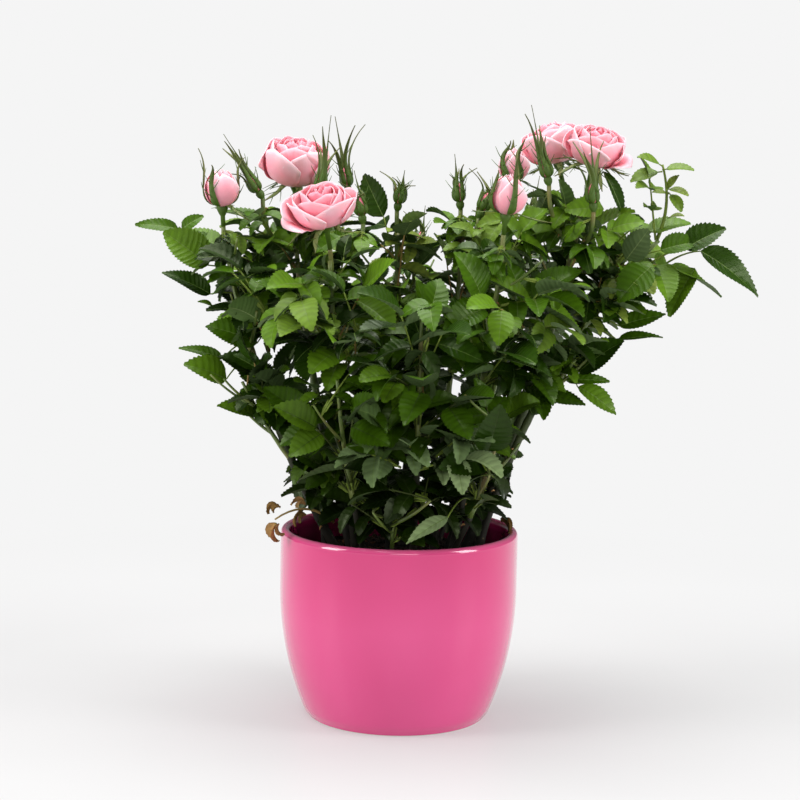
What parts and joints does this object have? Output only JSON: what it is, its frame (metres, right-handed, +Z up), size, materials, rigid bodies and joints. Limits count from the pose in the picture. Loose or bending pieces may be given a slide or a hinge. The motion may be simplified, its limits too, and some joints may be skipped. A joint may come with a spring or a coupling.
{
  "type": "potted rose bush",
  "caption": "Miniature rose bush with pink blooms and closed green buds, many bare canes rising into leafy masses, in a rounded glossy pink pot filled with dark compost",
  "frame": {"origin": "centre of the pot's flat underside, on the surface it stands on", "axes": "+Z up along the pot's axis; +X to the right and -Y to the front, as the bush is usually seen with its two lobes side by side"},
  "size_m": [0.357, 0.2264, 0.3616],
  "materials": {
    "glaze": "gloss",
    "compost": "matte",
    "bark": "satin",
    "foliage": "satin",
    "petals": "satin"
  },
  "bodies": {
    "root": {"bud_left": "petals", "bud_right_high": "petals", "bud_right_low": "petals", "cane_back_left": "bark", "cane_back_middle": "bark", "cane_back_right": "bark", "cane_front_left": "bark", "cane_front_middle": "bark", "cane_front_right": "bark", "cane_left_back": "bark", "cane_left_front": "bark", "cane_left_outer": "bark", "cane_low_back_left": "bark", "cane_low_back_right": "bark", "cane_low_front": "bark", "cane_low_left": "bark", "cane_low_right": "bark", "cane_middle": "bark", "cane_right_back": "bark", "cane_right_front": "bark", "cane_right_inner": "bark", "cane_right_outer": "bark", "compost": "compost", "foliage_back_left": "foliage", "foliage_back_middle": "foliage", "foliage_back_right": "foliage", "foliage_front_left": "foliage", "foliage_front_middle": "foliage", "foliage_front_right": "foliage", "foliage_left_back": "foliage", "foliage_left_front": "foliage", "foliage_left_low": "foliage", "foliage_left_outer": "foliage", "foliage_low_back_left": "foliage", "foliage_low_back_right": "foliage", "foliage_low_front": "foliage", "foliage_low_left": "foliage", "foliage_low_right": "foliage", "foliage_middle": "foliage", "foliage_right_back": "foliage", "foliage_right_front": "foliage", "foliage_right_inner": "foliage", "foliage_right_low": "foliage", "foliage_right_outer": "foliage", "pot": "glaze", "rose_left_high": "petals", "rose_left_low": "petals", "rose_right_back": "petals", "rose_right_front": "petals"}
  },
  "joints": []
}
